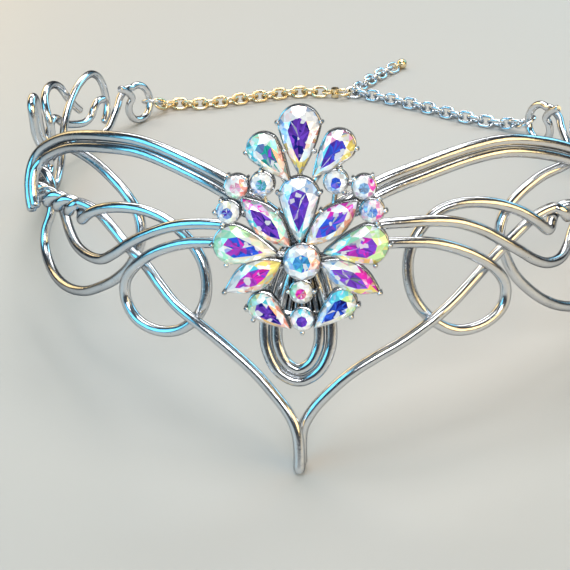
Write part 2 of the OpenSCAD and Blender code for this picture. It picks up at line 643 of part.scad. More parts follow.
// The lever: a hub, an arm to the tip of the hook, and a short thumb piece
hub_r = 0.7;
lever_long = 2.55;
lever_wide = 0.54;
lever_closed = -16;
thumb_turn = -75;
thumb_long = 1.35;
thumb_r = 0.45;
module clasp_lever() {
  color(silver) at_clasp() translate([pivot[0], pivot[1], -lever_thick / 2])
    rotate([0, 0, lever_open]) difference() {
      union() {
        cylinder(r = hub_r, h = lever_thick, $fn = 32);
        rotate([0, 0, lever_closed]) {
          translate([0, -lever_wide / 2, 0]) cube([lever_long, lever_wide, lever_thick]);
          translate([lever_long, 0, 0]) cylinder(d = lever_wide, h = lever_thick, $fn = 24);
        }
        rotate([0, 0, thumb_turn]) {
          translate([0, -lever_wide / 2, 0]) cube([thumb_long, lever_wide, lever_thick]);
          translate([thumb_long, 0, 0]) cylinder(r = thumb_r, h = lever_thick, $fn = 24);
        }
      }
      translate([0, 0, -1]) cylinder(d = pin_d + 2 * pin_room, h = lever_thick + 2, $fn = 32);
    }
}

// The link in the hook carries the right chain at its far end and the tail over its side
hooked_x = 3.25;
hooked_y = 0.2;
module hooked_link() {
  at_clasp() translate([hooked_x, hooked_y, link_rest - clasp_place[2]]) rotate([link_roll, 0, 0]) link();
}
module chain_left() {
  color(gilt) links(chain_left_rows, side_leans, jump_wire);
}
module chain_right() {
  color(gilt) {
    links(chain_right_rows, side_leans, jump_wire);
    hooked_link();
    links(tail_rows, tail_leans, loop_wire);
  }
}
// The bead hangs in the last link by a loop of its own
module end_bead() {
  way = unit(last(tail_rows) - tail_rows[len(tail_rows) - 2]);
  color(gilt) aimed(last(tail_rows) + tip_place, way, -link_roll) {
    translate([loop_r, 0, 0]) rotate_extrude($fn = 32)
      translate([loop_r, 0]) circle(d = loop_wire, $fn = 20);
    translate([2 * loop_r + bead_r - bead_sunk, 0, 0]) sphere(bead_r, $fn = 40);
  }
}

wall_wire(brow_rows);  // brow_wire_upper
beside_wire(brow_rows);  // brow_wire_lower
v_wire(v_rows_left, -1);  // v_wire_left
v_wire(v_rows_right, 1);  // v_wire_right
loop_wire(loop_rows_left, -1);  // loop_wire_left
loop_wire(loop_rows_right, 1);  // loop_wire_right
middle_wire(middle_rows_left, -1);  // middle_wire_left
middle_wire(middle_rows_right, 1);  // middle_wire_right
teardrop_wire(teardrop_rows_left, -1);  // teardrop_wire_left
teardrop_wire(teardrop_rows_right, 1);  // teardrop_wire_right
setting();
stone("pear_top");  // pear_top
stone("pear_upper_left");  // pear_upper_left
stone("pear_upper_right");  // pear_upper_right
stone("pear_middle");  // pear_middle
stone("pear_left");  // pear_left
stone("pear_right");  // pear_right
stone("pear_lower_left");  // pear_lower_left
stone("pear_lower_right");  // pear_lower_right
stone("navette_upper_left");  // navette_upper_left
stone("navette_upper_right");  // navette_upper_right
stone("navette_lower_left");  // navette_lower_left
stone("navette_lower_right");  // navette_lower_right
stone("round_centre");  // round_centre
stone("round_left_high");  // round_left_high
stone("round_left_mid");  // round_left_mid
stone("round_left_low");  // round_left_low
stone("round_right_high");  // round_right_high
stone("round_right_mid");  // round_right_mid
stone("round_right_low");  // round_right_low
stone("round_lower_high");  // round_lower_high
stone("round_lower_low");  // round_lower_low
jump_ring(-1);  // jump_ring_left
jump_ring(1);  // jump_ring_right
chain_left();
chain_right();
end_bead();
clasp_body();
clasp_lever();
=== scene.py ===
import math
import random

import bpy
import numpy as np
from mathutils import Matrix, Vector


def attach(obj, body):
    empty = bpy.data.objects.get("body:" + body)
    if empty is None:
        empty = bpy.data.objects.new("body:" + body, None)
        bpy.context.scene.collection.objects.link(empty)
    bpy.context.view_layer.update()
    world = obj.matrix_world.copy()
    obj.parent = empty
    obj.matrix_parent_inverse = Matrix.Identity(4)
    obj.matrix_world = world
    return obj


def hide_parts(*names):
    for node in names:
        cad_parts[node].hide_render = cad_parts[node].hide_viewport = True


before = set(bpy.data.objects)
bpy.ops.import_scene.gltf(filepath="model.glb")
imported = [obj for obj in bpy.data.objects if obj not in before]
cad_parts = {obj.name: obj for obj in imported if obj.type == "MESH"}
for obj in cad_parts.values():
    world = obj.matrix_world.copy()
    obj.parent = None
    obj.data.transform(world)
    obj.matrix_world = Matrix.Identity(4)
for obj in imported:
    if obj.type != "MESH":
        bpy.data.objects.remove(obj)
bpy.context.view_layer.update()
print("frame loaded with", len(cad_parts), "nodes")

mm = 0.001
rootBody = "circlet"


# shader sums: a socket that can be added, taken away and multiplied
class Field:
    def __init__(self, paint, socket):
        self.paint = paint
        self.socket = socket

    def sum(self, operation, first, second):
        return self.paint.node("ShaderNodeMath", {"operation": operation}, {0: first, 1: second})

    def __add__(self, other):
        return self.sum("ADD", self, other)

    def __radd__(self, other):
        return self.sum("ADD", other, self)

    def __sub__(self, other):
        return self.sum("SUBTRACT", self, other)

    def __rsub__(self, other):
        return self.sum("SUBTRACT", other, self)

    def __mul__(self, other):
        return self.sum("MULTIPLY", self, other)

    def __rmul__(self, other):
        return self.sum("MULTIPLY", other, self)


class Paint:
    def __init__(self, name):
        self.material = bpy.data.materials.new(name)
        self.material.use_nodes = True
        self.tree = self.material.node_tree
        self.tree.nodes.clear()

    def node(self, kind, settings=None, sockets=None, output=0):
        made = self.tree.nodes.new(kind)
        for key, value in (settings or {}).items():
            if key == "stops":
                self.setStops(made.color_ramp, value)
            else:
                setattr(made, key, value)
        for key, value in (sockets or {}).items():
            if isinstance(value, Field):
                self.tree.links.new(value.socket, made.inputs[key])
            else:
                made.inputs[key].default_value = value
        return Field(self, made.outputs[output]) if made.outputs else None

    def setStops(self, ramp, stops):
        for element, (place, colour) in zip(ramp.elements, stops):
            element.position = place
            element.color = (*colour, 1)

    def noise(self, place, scale, detail):
        sockets = {"Vector": place, "Scale": scale, "Detail": detail}
        return self.node("ShaderNodeTexNoise", {}, sockets)

    def mask(self, value, low, high):
        stops = [(low, (0, 0, 0)), (high, (1, 1, 1))]
        return self.node("ShaderNodeValToRGB", {"stops": stops}, {0: value})

    def blend(self, amount, first, second):
        sockets = {"Factor": amount}
        for key, colour in ((6, first), (7, second)):  # the mix's two colour sockets
            sockets[key] = colour if isinstance(colour, Field) else (*colour, 1)
        return self.node("ShaderNodeMix", {"data_type": "RGBA"}, sockets, 2)

    def close(self, shader):
        self.node("ShaderNodeOutputMaterial", {}, {"Surface": shader})
        return self.material


# the wires' wall: an oval that leans back, and the same few rules as the part's own source
wall = {"across": 78, "deep": 94, "lean": 19, "skew": 0.00096}
tipPlace = np.array([0, -107.97, 0])
leanCos = math.cos(math.radians(wall["lean"]))
leanSin = math.sin(math.radians(wall["lean"]))


def unit(way):
    return way / np.linalg.norm(way)


def leaned(across, back, up):
    laid = leanCos * back + leanSin * up
    raised = leanCos * up - leanSin * back
    return np.array([across, laid * (1 - wall["skew"] * across), raised]) + tipPlace


def onWall(row):
    turn = math.radians(row[0])
    across = (wall["across"] + row[2]) * math.sin(turn)
    back = wall["deep"] - (wall["deep"] + row[2]) * math.cos(turn)
    return leaned(across, back, row[1])


def outward(turn):
    angle = math.radians(turn)
    flat = unit(np.array([math.sin(angle) * wall["deep"], -math.cos(angle) * wall["across"]]))
    return np.array([flat[0], leanCos * flat[1], -leanSin * flat[1]])


def curveAt(a, b, c, d, u):
    straight = 2 * b + (c - a) * u
    return 0.5 * (straight + (2 * a - 5 * b + 4 * c - d) * u**2 + (3 * b - a - 3 * c + d) * u**3)


def rounded(rows, steps):
    rows = np.asarray(rows, float)
    ends = [2 * rows[0] - rows[1], *rows, 2 * rows[-1] - rows[-2]]
    fine = [
        curveAt(*ends[i:i + 4], j / steps)
        for i in range(len(rows) - 1)
        for j in range(steps)
    ]
    return np.array(fine + [rows[-1]])


# meshes
def sweep(points, radii, sides, side, closed=False):
    count = len(points)
    if closed:
        ways = np.roll(points, -1, 0) - np.roll(points, 1, 0)
    else:
        ways = np.gradient(points, axis=0)
    verts = []
    for point, way, radius in zip(points, ways, np.broadcast_to(radii, count)):
        way = unit(way)
        side = unit(side - side.dot(way) * way)
        up = np.cross(way, side)
        for j in range(sides):
            angle = 2 * math.pi * j / sides
            verts.append(point + radius * (math.cos(angle) * side + math.sin(angle) * up))
    faces = []
    for i in range(count if closed else count - 1):
        near, far = i * sides, (i + 1) % count * sides
        for j in range(sides):
            k = (j + 1) % sides
            faces.append((near + j, near + k, far + k, far + j))
    if not closed:
        faces.append(tuple(range(sides))[::-1])
        faces.append(tuple(range((count - 1) * sides, count * sides)))
    return np.array(verts), faces


def ball(middle, radius, rings=6, sides=10):
    verts = [middle - [0, 0, radius]]
    for i in range(1, rings):
        tilt = math.pi * i / rings
        for j in range(sides):
            angle = 2 * math.pi * j / sides
            ring = np.array([math.cos(angle), math.sin(angle), 0]) * math.sin(tilt)
            verts.append(middle + radius * (ring - [0, 0, math.cos(tilt)]))
    verts.append(middle + [0, 0, radius])
    top = len(verts) - 1
    faces = []
    for j in range(sides):
        k = (j + 1) % sides
        faces.append((0, 1 + k, 1 + j))
        faces.append((top, top - sides + j, top - sides + k))
        for i in range(rings - 2):
            near, far = 1 + i * sides, 1 + (i + 1) * sides
            faces.append((near + j, near + k, far + k, far + j))
    return np.array(verts), faces


def joined(forms):
    verts, faces, start = [], [], 0
    for formVerts, formFaces in forms:
        verts.append(formVerts)
        faces += [tuple(start + index for index in face) for face in formFaces]
        start += len(formVerts)
    return np.vstack(verts), faces


def makePiece(name, form, material, replaced, body=rootBody, smooth=True, crease=None):
    verts, faces = form
    mesh = bpy.data.meshes.new(name)
    mesh.from_pydata((np.asarray(verts) * mm).tolist(), [], faces)
    mesh.validate()
    mesh.polygons.foreach_set("use_smooth", [smooth] * len(mesh.polygons))
    mesh.materials.append(material)
    if crease:
        mesh.set_sharp_from_angle(angle=math.radians(crease))
    piece = bpy.data.objects.new(name, mesh)
    bpy.context.scene.collection.objects.link(piece)
    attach(piece, body)
    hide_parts(*replaced)
    return piece


# finishes, each with its colours, the size of its patterns and how much each pattern counts
wireLook = {
    "light": (0.78, 0.80, 0.83), "grey": (0.46, 0.48, 0.52), "edge": (0.10, 0.11, 0.13, 1),
    "drawnScale": (0.7, 26, 1), "dentScale": 170.0, "speckScale": 1900.0,
    "dullFrom": 0.48, "dullTo": 0.7, "wornFrom": 0.56, "wornTo": 0.72,
    "dullGrey": 0.25, "wornGrey": 0.3,
    "roughness": 0.15, "drawnRough": 0.05, "dullRough": 0.06, "wornRough": 0.1,
    "bump": 0.22, "bumpDepth": 0.00022, "drawnHigh": 0.3, "dentHigh": 0.45, "wornDeep": 0.12,
}


def brightWire():
    look = wireLook
    paint = Paint("brightWire")
    place = paint.node("ShaderNodeTexCoord", output="Object")
    line = paint.node("ShaderNodeUVMap", {"uv_map": "alongWire"})
    stretched = paint.node("ShaderNodeMapping", {}, {"Vector": line, "Scale": look["drawnScale"]})
    drawn = paint.noise(stretched, scale=1.0, detail=3.0)
    dents = paint.noise(place, look["dentScale"], detail=2.0)
    specks = paint.noise(place, look["speckScale"], detail=2.0)
    worn = paint.mask(specks, look["wornFrom"], look["wornTo"])
    dull = paint.mask(dents, look["dullFrom"], look["dullTo"])
    height = drawn * look["drawnHigh"] + dents * look["dentHigh"] - worn * look["wornDeep"]
    grey = dull * look["dullGrey"] + worn * look["wornGrey"]
    rough = look["roughness"] + drawn * look["drawnRough"] + dull * look["dullRough"]
    shader = paint.node("ShaderNodeBsdfPrincipled", {}, {
        "Base Color": paint.blend(grey, look["light"], look["grey"]),
        "Metallic": 1.0,
        "Specular Tint": look["edge"],
        "Roughness": rough + worn * look["wornRough"],
        "Normal": paint.node("ShaderNodeBump", {}, {
            "Strength": look["bump"], "Distance": look["bumpDepth"], "Height": height,
        }),
    })
    return paint.close(shader)


platingLook = {
    "cloudScale": 420.0, "fineScale": 3200.0, "tarnishFrom": 0.45, "tarnishTo": 0.68,
    "edge": (0.25, 0.26, 0.28, 1), "groove": (0.015, 0.017, 0.02),
    "tarnishRough": 0.12, "fineRough": 0.05,
    "bumpDepth": 0.00012, "cloudHigh": 0.8, "fineHigh": 0.3,
}


def platedMetal(name, light, dark, roughness, grain, grooved=False):
    look = platingLook
    paint = Paint(name)
    place = paint.node("ShaderNodeTexCoord", output="Object")
    clouds = paint.noise(place, look["cloudScale"], detail=4.0)
    fine = paint.noise(place, look["fineScale"], detail=2.0)
    tarnish = paint.mask(clouds, look["tarnishFrom"], look["tarnishTo"])
    colour = paint.blend(tarnish, light, dark)
    if grooved:  # the fan is darker in its grooves and towards its top
        depth = paint.node("ShaderNodeAttribute", {"attribute_name": "groove"}, output="Fac")
        colour = paint.blend(depth, colour, look["groove"])
    height = clouds * look["cloudHigh"] + fine * look["fineHigh"]
    shader = paint.node("ShaderNodeBsdfPrincipled", {}, {
        "Base Color": colour,
        "Metallic": 1.0,
        "Specular Tint": look["edge"],
        "Roughness": roughness + tarnish * look["tarnishRough"] + fine * look["fineRough"],
        "Normal": paint.node("ShaderNodeBump", {}, {
            "Strength": grain, "Distance": look["bumpDepth"], "Height": height,
        }),
    })
    return paint.close(shader)


crystalLook = {
    "patchScale": 1050.0, "secondFrom": 0.50, "secondTo": 0.53, "secondShare": 0.6,
    "glintFrom": 0.76, "glintTo": 0.78, "glintShare": 0.85, "glint": (0.96, 0.98, 1),
    "metallic": 0.35, "roughness": 0.05, "secondRough": 0.05, "ior": 1.6,
    "coatRoughness": 0.02, "glow": 0.28,
}


def cutCrystal():
    look = crystalLook
    paint = Paint("coatedCrystal")
    place = paint.node("ShaderNodeTexCoord", output="Object")
    tint = paint.node("ShaderNodeAttribute", {"attribute_name": "facetTint"}, output="Color")
    echo = paint.node("ShaderNodeAttribute", {"attribute_name": "facetEcho"}, output="Color")
    # the back facets seen through the stone: small patches of the second tint, and some white
    # patches that are painted glints
    patchSockets = {"Vector": place, "Scale": look["patchScale"]}
    patches = paint.node("ShaderNodeTexVoronoi", {}, patchSockets, output="Color")
    second = paint.mask(patches, look["secondFrom"], look["secondTo"])
    glint = paint.mask(patches, look["glintFrom"], look["glintTo"])
    colour = paint.blend(second * look["secondShare"], tint, echo)
    colour = paint.blend(glint * look["glintShare"], colour, look["glint"])
    shader = paint.node("ShaderNodeBsdfPrincipled", {}, {
        "Base Color": colour,
        "Metallic": look["metallic"],
        "Roughness": look["roughness"] + second * look["secondRough"],
        "IOR": look["ior"],
        "Coat Weight": 1.0,
        "Coat Roughness": look["coatRoughness"],
        # painted light: the crystal gives off its own colour, so it glows though it is no lamp
        "Emission Color": colour,
        "Emission Strength": look["glow"],
    })
    return paint.close(shader)


wireMetal = brightWire()
# each plating: name, light colour, tarnished colour, roughness, strength of its grain
silverMetal = platedMetal(
    "platedSilver", (0.86, 0.87, 0.88), (0.36, 0.37, 0.40), 0.14, 0.3, grooved=True)
# the right chain's blue tint is a painted cool reflection; the gold of the left chain, the clasp
# and the bead is painted warm light
coolPaintedChainMetal = platedMetal("coolPaintedChain", (0.84, 0.89, 0.95), (0.60, 0.66, 0.74), 0.12, 0.2)
warmPaintedMetal = platedMetal("warmPaintedChain", (0.98, 0.82, 0.53), (0.80, 0.62, 0.36), 0.12, 0.2)
crystal = cutCrystal()
print("finishes made")

# the wires, each row: turn round the wall in degrees, height up the wall, mm proud of it
wire = {"radius": 1.09, "sides": 16, "steps": 7, "pairGap": 2.3, "endShare": 0.72}

# left curl, over the brow, behind the rosette, round the hanging loop, right side, right curl
browRows = [
    (-48, 45.8, 3.5), (-48.7, 48.5, 3.5), (-49, 52, 3.3), (-48.8, 55.8, 2.4), (-47.2, 58.8, 1.2),
    (-43.4, 61.2, 0.2), (-38.4, 62.7, 0), (-31, 63.3, 0), (-24.5, 62.8, 0), (-18, 60.2, 0),
    (-11, 55.8, -0.5), (-4.5, 50, -1.2), (0.3, 43.5, -1.2), (2.5, 36.5, -0.6), (3.1, 30, 0),
    (3, 24.5, 0), (1.4, 19.9, 0), (-1.5, 17.9, 0), (-4.4, 19.8, 0), (-6, 24.3, 0), (-6.1, 30, 0),
    (-5.4, 36.5, 0.6), (-3, 43.5, 1.2), (2, 50, 1.2), (9, 55.6, 0.5), (16, 59.1, 0),
    (22.9, 61.9, 0), (29.3, 63, 0), (36.7, 61.9, 0), (43.4, 59.7, 0.2), (48, 57.9, 1),
    (51, 55.1, 2.4), (51.9, 51.5, 3.4), (51.5, 48, 3.7), (50.4, 45, 3.6)
]

# from the tip of the V up to the twist
vRowsLeft = [
    (1.5, -0.1, 1.15), (1.5, 5, 1.15), (1.9, 8.6, 1.1), (2.9, 11.6, 0.8), (4.6, 14.6, 0.4),
    (7.6, 19.2, 0.2), (11.2, 23.6, 0.5), (15, 27.8, 1.15), (18.9, 31.4, 1.15), (22.2, 35, 0),
    (25.2, 38.3, -1.15), (28.6, 41.6, -1.15), (31.6, 44.9, -1.15), (34.6, 47.6, -1.1)
]
vRowsRight = [
    (-1.3, 0.65, -1.15), (-1.3, 5, -1.15), (-1, 8.4, -1.1), (0.6, 12.2, -0.8), (3.1, 16, -0.4),
    (6.1, 19.6, 0), (9.6, 22.6, 0.2), (13.3, 25.5, 0.6), (16.7, 28.8, 1.15), (19.9, 32.1, 1),
    (23.2, 35.5, -0.2), (26.3, 38.6, -1.35), (29.2, 42, -1.25), (32, 44.9, -1.2),
    (34.8, 47.4, -1.1)
]

# round the big loop and over its own arc to the twist
loopRowsLeft = [
    (11, 44.5, 1.2), (14, 44.4, 1.2), (17, 44, 1.2), (20.5, 42.7, 1.2), (23.7, 40.6, 1.2),
    (26.6, 37.6, 0.9), (28.3, 34.4, 0.4), (28.4, 30.6, 0), (26.6, 27.2, -0.3), (23.5, 25.6, -0.7),
    (20.2, 25.9, -1.2), (17.4, 28.1, -1.2), (15.6, 31.5, -1.2), (15, 35.4, -1.2),
    (15.4, 39.5, -1.2), (16.9, 43.1, -1.2), (19.2, 46, -1.2), (21.9, 48.1, -1), (25, 49.4, -0.3),
    (28.5, 49.6, 0.4), (31.8, 49, 0.9), (34.5, 47.7, 1.25), (36.6, 46, 0.9)
]
loopRowsRight = [
    (10, 44.6, 1.2), (13.4, 44.6, 1.2), (17, 44.3, 1.2), (20.5, 43, 1.2), (23.7, 41.1, 1.2),
    (26.8, 38.3, 0.95), (28.8, 35, 0.4), (28.9, 31.2, 0), (27.3, 28.4, -0.3), (24.4, 26.6, -0.7),
    (21, 26.5, -1.2), (17.8, 28.9, -1.2), (15.4, 32.6, -1.2), (14.3, 36.8, -1.2), (14.2, 41, -1.2),
    (15, 44.5, -1.2), (16.6, 47.6, -1.2), (19, 50.2, -1), (22.3, 51.4, -0.3), (26.2, 51.1, 0.4),
    (30.3, 49.5, 0.9), (33.7, 47, 1.25), (36.2, 44.9, 0.9)
]

# in a low wave to the side
middleRowsLeft = [
    (7.6, 45.7, 1.2), (9.2, 47.1, 1.2), (12, 47.9, 1.2), (16, 47.8, 1.2), (19.7, 46.9, 1.2),
    (23.2, 45.2, 1.2), (26.7, 42.9, 1.2), (29.8, 40.3, 1.2), (32.6, 38.6, 0.8), (35.8, 38.5, 0.3),
    (39.3, 39.6, -0.4), (42.8, 41.6, -1.7), (46, 43.9, -3.1), (48.4, 46.1, -3.7), (51, 47.4, -3.7),
    (53.2, 47.4, -3.6), (56.3, 46.6, -3.25)
]
middleRowsRight = [
    (8, 47, 1.2), (9.8, 48.1, 1.2), (12.9, 48.4, 1.2), (16.8, 48.5, 1.2), (20.5, 48, 1.2),
    (24.3, 46.3, 1.2), (27.5, 44, 1.2), (31, 41.3, 1.1), (33.8, 39.2, 0.8), (36.8, 38, 0.2),
    (40.2, 38.3, -0.8), (43.3, 40.2, -2.3), (45.7, 43.2, -3.4), (47.8, 45.9, -3.7),
    (50.4, 47.4, -3.7), (53.2, 47.4, -3.6), (56.3, 46.6, -3.25)
]

# round the teardrop, behind all the others
teardropRowsLeft = [
    (49, 58.4, -1.9), (45.5, 60, -2.4), (41, 59, -2.9), (36.8, 57, -3.5), (33, 54.4, -3.5),
    (30, 51.5, -3.5), (27.8, 47.8, -3.6), (27.3, 43.9, -3.6), (28.2, 40.3, -3.6), (30, 36.8, -3.5),
    (33.2, 33.6, -3.5), (37, 31.2, -3.5), (41.2, 29.3, -3.4), (46.2, 28.6, -3.4), (51, 29.3, -3.4),
    (55, 31.4, -3.4), (57.6, 34.6, -3.4), (58.2, 38.4, -3.9), (57.8, 42.2, -5.2)
]
teardropRowsRight = [
    (49, 56.8, -1.9), (45.5, 58, -2.4), (41.4, 56.6, -2.9), (38.1, 55.2, -3.5), (34.9, 53.2, -3.5),
    (32.1, 50.6, -3.5), (30.3, 47.4, -3.6), (29.8, 43.7, -3.6), (30.9, 39.8, -3.6),
    (32.8, 35.6, -3.5), (35.9, 32, -3.5), (39.3, 29.3, -3.5), (43.2, 27.4, -3.4),
    (47.6, 26.6, -3.4), (52, 27.6, -3.4), (55.8, 30.4, -3.4), (58.2, 34.2, -3.5), (58.6, 38.2, -4),
    (57.9, 42.2, -5.2)
]

# behind the twist the four fan out into the arches
vRear = [
    (56, 48.2, -0.1), (62, 46.1, -1.7), (70, 44.2, -2.5), (79, 42.2, -1.6), (86, 41, -0.3),
    (91, 41.6, 1.2), (96, 44.5, 1.2), (101, 47.7, 1.2), (106, 49.4, 0.7), (111, 49.8, -0.1),
    (115, 50.2, -0.6), (117.6, 52, -1.15), (119.5, 55.2, -1.15), (121.4, 58.6, -0.8),
    (123, 61.4, 0), (125.3, 63.6, 0)
]
loopRear = [
    (56, 49.3, -2.5), (62, 48.6, -4.05), (70, 46.7, -4.85), (79, 44.6, -3.95), (86, 43.4, -2.65),
    (90, 42.9, -1.75), (93, 43.4, -1.5), (94.2, 45.8, -1.3), (93, 48.6, -1.2), (90.8, 51.5, -0.8),
    (89.2, 54.8, -0.2), (88.3, 59, -0.1), (88.2, 62.6, 0.2), (89.6, 64.6, 0.4), (91.5, 63.7, 0.6),
    (93, 60.5, 0.9), (94.1, 56.5, 1.1), (94.9, 53.6, 0.9), (95.6, 52.5, -0.4), (95.4, 54.2, -1.4),
    (94.8, 57.4, -1.3), (94.9, 61, -0.4), (95.9, 63.8, 0.4), (98, 65.9, 0.9), (100.8, 66.6, 1.2),
    (103.5, 65.7, 1.2), (106, 62.8, 1.2), (108.6, 60, 1.2), (110.8, 58.1, 1.2)
]
middleRear = [
    (62, 46.2, -4.05), (70, 44.3, -4.85), (79, 42.2, -3.95), (86, 41, -2.65), (91, 39.6, -1.7),
    (95.5, 39.5, -1.5), (98.2, 42, -1.2), (99.8, 46, -1.2), (100.8, 50.8, -1.2), (101.6, 55, -1.2),
    (103.2, 59, -1.2), (105.2, 62.4, -1.2), (107.6, 65.5, -1.2), (110.4, 67.8, -1.1),
    (113.2, 68.7, -0.6), (115.9, 67.8, 0), (117.9, 65.3, 0.6), (119.1, 62.2, 1.2),
    (119.6, 58.9, 1.2), (119.2, 56, 1.2), (118.4, 53.8, 1.2)
]
teardropRear = [
    (58.5, 46.2, -6.05), (59.6, 49.6, -5.8), (62, 51.4, -4.7), (65.5, 50.2, -3.1),
    (70, 47.2, -2.6), (79, 44.6, -1.6), (86, 43.4, -0.3), (91, 44.4, 1.2), (95, 47.5, 1.2),
    (97.3, 51.5, 1.2), (98.7, 55, 1.2), (100.2, 57.2, 1.2), (102, 57, 1.2), (104.2, 55.4, 1.2),
    (107, 54.7, 0.7), (110.4, 54.7, 0), (112.7, 56.2, -0.4), (113.4, 58.7, -1),
    (114.6, 60.6, -1.1), (117, 61.2, -1.1)
]

# the eye ring's middle, its radius, and mm along the wall for a degree of turn
eye = {"turn": 128.2, "height": 59.2, "radius": 5.35, "runPerTurn": 1.54}
# round the eye: degrees round the ring, mm proud
eyeRows = [
    (120, 0), (90, 0), (60, 0), (30, 0), (0, 0), (-30, 0), (-60, 0), (-90, 0), (-120, 0),
    (-150, -0.4), (-177, -1.3), (-200, -2.3)
]
eyeTail = [(123.2, 62.9, -2.6), (120.9, 64, -2.5)]
# at the temple the V wire and the loop wire wind round each other
twist = {
    "from": 37.5, "to": 52.5, "turns": 2.25, "radius": 1.2, "height": 47.8, "climb": 1.3,
    "steps": 18,
}


def twistRows(phase):
    rows = []
    for i in range(twist["steps"] + 1):
        share = i / twist["steps"]
        angle = math.radians(phase - 360 * twist["turns"] * share)
        rows.append((
            twist["from"] + (twist["to"] - twist["from"]) * share,
            twist["height"] + twist["climb"] * share + twist["radius"] * math.sin(angle),
            twist["radius"] * math.cos(angle),
        ))
    return rows


def eyeRound():
    return [
        (
            eye["turn"] + eye["radius"] / eye["runPerTurn"] * math.cos(math.radians(angle)),
            eye["height"] + eye["radius"] * math.sin(math.radians(angle)),
            proud,
        )
        for angle, proud in eyeRows
    ]


def mirrored(rows, hand):
    return [(hand * turn, height, proud) for turn, height, proud in rows]


def addWireLines(piece, points, sides):
    run = np.concatenate([[0], np.cumsum(np.linalg.norm(np.diff(points, axis=0), axis=1))])
    mesh = piece.data
    layer = mesh.uv_layers.new(name="alongWire")
    for polygon in mesh.polygons:
        around = [index % sides for index in polygon.vertices]
        crosses = max(around) - min(around) > sides / 2
        for corner, index, turn in zip(polygon.loop_indices, polygon.vertices, around):
            turned = turn + sides if crosses and turn == 0 else turn
            layer.data[corner].uv = (run[index // sides], turned / sides)


def bentWire(name, rows, beside=False):
    fine = rounded(rows, wire["steps"])
    points = np.array([onWall(row) for row in fine])
    if beside:
        ways = np.gradient(points, axis=0)
        sideways = [unit(np.cross(unit(way), outward(row[0]))) for way, row in zip(ways, fine)]
        points = points + wire["pairGap"] * np.array(sideways)
    radii = np.full(len(points), wire["radius"])
    radii[[0, -1]] *= wire["endShare"]  # cut ends, filed round
    form = sweep(points, radii, wire["sides"], outward(rows[0][0]))
    piece = makePiece(name.replace("_", "") + "Bent", form, wireMetal, [name], crease=50)
    addWireLines(piece, points, wire["sides"])


bentWire("brow_wire_upper", browRows)
bentWire("brow_wire_lower", browRows, beside=True)
for handName, hand, vFront, loopFront, middleFront, teardropFront in (
    ("left", -1, vRowsLeft, loopRowsLeft, middleRowsLeft, teardropRowsLeft),
    ("right", 1, vRowsRight, loopRowsRight, middleRowsRight, teardropRowsRight),
):
    runs = {
        "v_wire": vFront + twistRows(90) + vRear + eyeRound() + eyeTail,
        "loop_wire": loopFront + twistRows(-90) + loopRear,
        "middle_wire": middleFront + middleRear,
        "teardrop_wire": teardropFront + teardropRear,
    }
    for runName, rows in runs.items():
        bentWire(runName + "_" + handName, mirrored(rows, hand))
print("wires bent")

# the rosette's plane: across, height, and mm out from the wall
rosette = {"middle": -1.1, "seat": 2.45, "cup": 1.4, "gap": 0.12, "pavilion": 1.6, "crown": 1.7}
backAt = rosette["seat"] + rosette["cup"] + rosette["gap"]
girdleAt = backAt + rosette["pavilion"]
tableAt = girdleAt + rosette["crown"]


def onRosette(across, height, out):
    back = -out
    return np.array([
        across + rosette["middle"],
        leanCos * back + leanSin * height,
        leanCos * height - leanSin * back,
    ]) + tipPlace


rosetteSide = onRosette(1, 0, 0) - onRosette(0, 0, 0)
rosetteOut = onRosette(0, 0, 1) - onRosette(0, 0, 0)

# the coating's colours
tints = {
    "white": (0.93, 0.96, 1.0), "cream": (1.0, 0.93, 0.70), "yellow": (1.0, 0.82, 0.22),
    "lime": (0.62, 0.93, 0.42), "mint": (0.42, 0.92, 0.66), "teal": (0.03, 0.50, 0.45),
    "cyan": (0.14, 0.76, 0.96), "sky": (0.30, 0.55, 1.0), "blue": (0.04, 0.13, 0.85),
    "navy": (0.015, 0.02, 0.26), "indigo": (0.10, 0.05, 0.55), "violet": (0.26, 0.08, 0.72),
    "magenta": (0.90, 0.04, 0.58), "pink": (1.0, 0.46, 0.72), "coral": (1.0, 0.38, 0.28),
    "orange": (1.0, 0.55, 0.18), "grey": (0.20, 0.24, 0.32),
}

